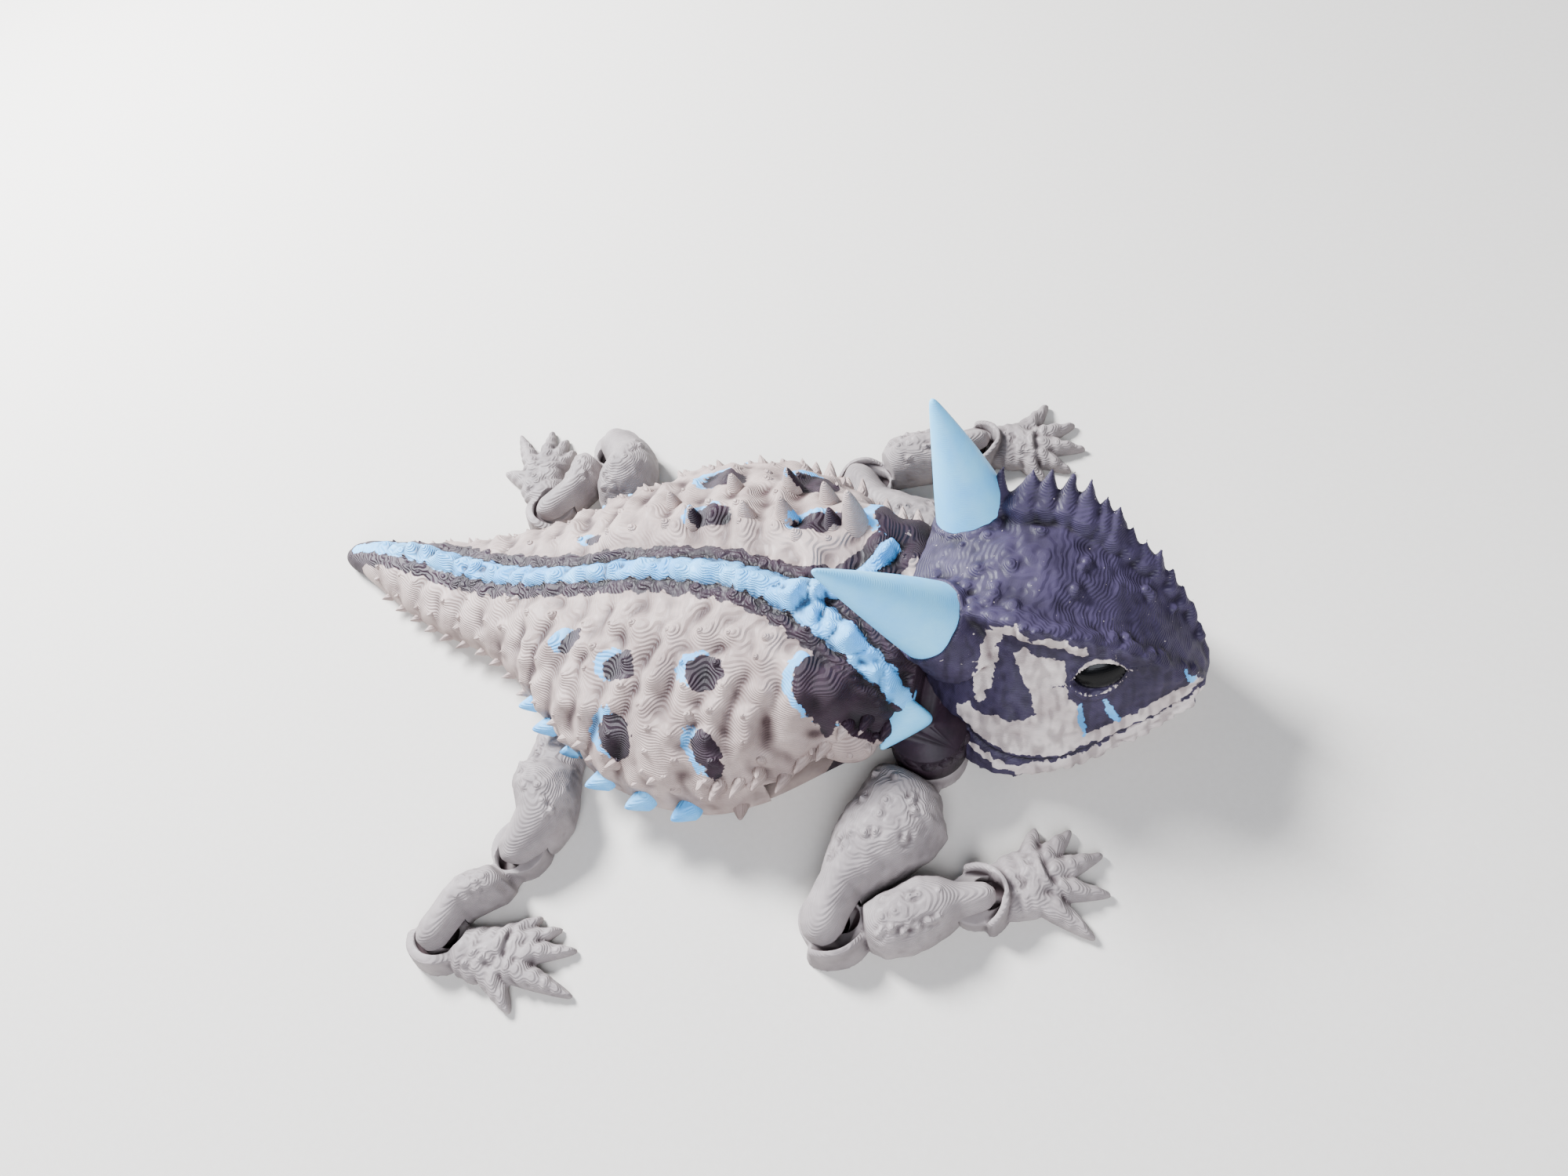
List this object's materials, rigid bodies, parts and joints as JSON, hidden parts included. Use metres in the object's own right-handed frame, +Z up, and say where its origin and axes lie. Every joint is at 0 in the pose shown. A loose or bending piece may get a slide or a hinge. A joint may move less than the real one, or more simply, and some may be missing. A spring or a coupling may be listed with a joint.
{
  "type": "articulated horned lizard toy",
  "caption": "Print-in-place horned lizard toy: domed spiny torso, tail and horned head in one stiff body, legs of hinged flat-swinging links.",
  "frame": {"origin": "on the table under the middle of the torso, at the flat belly", "axes": "+X to the snout, +Y to the toy's left, +Z up"},
  "size_m": [0.1737, 0.1376, 0.048],
  "materials": {
    "sand": "printed plastic, sand coloured, fine layer lines",
    "dusk": "printed plastic, grey beige, fine layer lines",
    "plum": "printed plastic, dark purple brown, fine layer lines",
    "sky": "printed plastic, light blue, silky",
    "black": "black plastic, silky"
  },
  "bodies": {
    "torso": {"torso": "sand", "tail": "sand", "head": "plum", "horn_right": "sky", "horn_left": "sky", "collar_spike_right": "sky", "collar_spike_left": "sky", "eye_right": "black", "eye_left": "black"},
    "upper_arm_right": {"upper_arm_right": "dusk"},
    "forearm_right": {"forearm_right": "dusk"},
    "front_foot_right": {"front_foot_right": "dusk"},
    "thigh_right": {"thigh_right": "dusk"},
    "shin_right": {"shin_right": "dusk"},
    "hind_foot_right": {"hind_foot_right": "dusk"},
    "upper_arm_left": {"upper_arm_left": "dusk"},
    "forearm_left": {"forearm_left": "dusk"},
    "front_foot_left": {"front_foot_left": "dusk"},
    "thigh_left": {"thigh_left": "dusk"},
    "shin_left": {"shin_left": "dusk"},
    "hind_foot_left": {"hind_foot_left": "dusk"}
  },
  "joints": [
    {"name": "shoulder_right", "type": "hinge", "parent": "torso", "child": "upper_arm_right", "pos_m": [0.03996, -0.01453, 0.003], "axis": [0, 0, 1], "range_deg": [-29, 3]},
    {"name": "elbow_right", "type": "hinge", "parent": "upper_arm_right", "child": "forearm_right", "pos_m": [0.03015, -0.04663, 0.003], "axis": [0, 0, 1], "range_deg": [-97.5, 2.5]},
    {"name": "wrist_right", "type": "hinge", "parent": "forearm_right", "child": "front_foot_right", "pos_m": [0.0517, -0.03857, 0.003], "axis": [0, 0, 1], "range_deg": [-43, 19]},
    {"name": "hip_right", "type": "hinge", "parent": "torso", "child": "thigh_right", "pos_m": [-0.02543, -0.01652, 0.003], "axis": [0, 0, 1], "range_deg": [-31.5, 8.5]},
    {"name": "knee_right", "type": "hinge", "parent": "thigh_right", "child": "shin_right", "pos_m": [-0.02568, -0.04524, 0.003], "axis": [0, 0, 1], "range_deg": [-100.5, 6.5]},
    {"name": "ankle_right", "type": "hinge", "parent": "shin_right", "child": "hind_foot_right", "pos_m": [-0.03416, -0.06189, 0.003], "axis": [0, 0, 1], "range_deg": [-32, 8]},
    {"name": "shoulder_left", "type": "hinge", "parent": "torso", "child": "upper_arm_left", "pos_m": [0.03996, 0.01453, 0.003], "axis": [0, 0, 1], "range_deg": [-30, 2]},
    {"name": "elbow_left", "type": "hinge", "parent": "upper_arm_left", "child": "forearm_left", "pos_m": [0.01665, 0.03867, 0.003], "axis": [0, 0, 1], "range_deg": [-11.5, 68.5]},
    {"name": "wrist_left", "type": "hinge", "parent": "forearm_left", "child": "front_foot_left", "pos_m": [0.03538, 0.05204, 0.003], "axis": [0, 0, 1], "range_deg": [-5, 57]},
    {"name": "hip_left", "type": "hinge", "parent": "torso", "child": "thigh_left", "pos_m": [-0.02543, 0.01652, 0.003], "axis": [0, 0, 1], "range_deg": [-35, 5]},
    {"name": "knee_left", "type": "hinge", "parent": "thigh_left", "child": "shin_left", "pos_m": [-0.03847, 0.04211, 0.003], "axis": [0, 0, 1], "range_deg": [-105, 2]},
    {"name": "ankle_left", "type": "hinge", "parent": "shin_left", "child": "hind_foot_left", "pos_m": [-0.04724, 0.02561, 0.003], "axis": [0, 0, 1], "range_deg": [-3, 37]}
  ]
}
